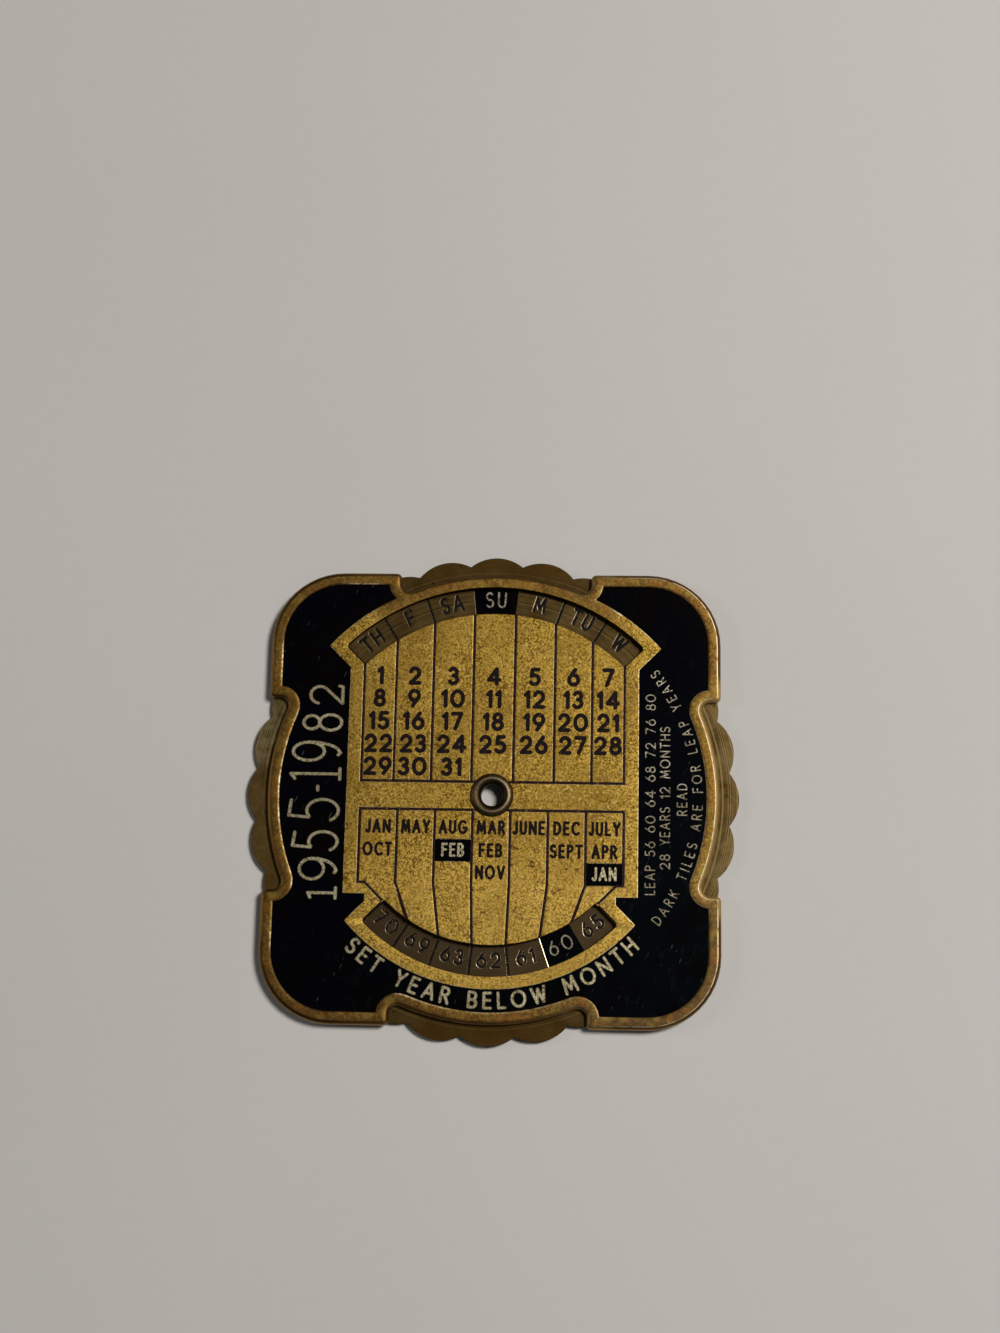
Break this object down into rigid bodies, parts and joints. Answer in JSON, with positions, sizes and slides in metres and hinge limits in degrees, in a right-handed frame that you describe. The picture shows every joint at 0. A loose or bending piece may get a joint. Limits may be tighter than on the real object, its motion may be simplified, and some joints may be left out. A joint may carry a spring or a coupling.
{
  "type": "perpetual calendar",
  "caption": "Square struck brass pocket calendar plate with lobed corners, arc windows and enamel relief, over a scalloped date wheel that turns on a hollow eyelet.",
  "frame": {"origin": "on the eyelet's axis, on the surface that the calendar rests on", "axes": "+Z out of the printed face, +Y towards the weekday window, +X to the right as the face is read"},
  "size_m": [0.054, 0.054, 0.0021],
  "materials": {
    "plate_brass": "matt struck grain, lightly worn",
    "wheel_brass": "smooth, dulled",
    "eyelet_bronze": "dark patina, satin",
    "black_enamel": "gloss enamel",
    "line_fill": "dull black fill"
  },
  "bodies": {
    "plate": {"front_plate": "plate_brass", "field_enamel": "black_enamel", "month_tile_enamel": "black_enamel", "date_grid_fill": "line_fill", "month_grid_fill": "line_fill", "eyelet": "eyelet_bronze"},
    "wheel": {"calendar_wheel": "wheel_brass", "sunday_enamel": "black_enamel", "leap_year_enamel": "black_enamel", "day_divider_fill": "line_fill", "year_divider_fill": "line_fill"}
  },
  "joints": [
    {"name": "wheel_turn", "type": "hinge", "parent": "plate", "child": "wheel", "pos_m": [0, 0, 0.00058], "axis": [0, 0, 1], "continuous": true}
  ]
}
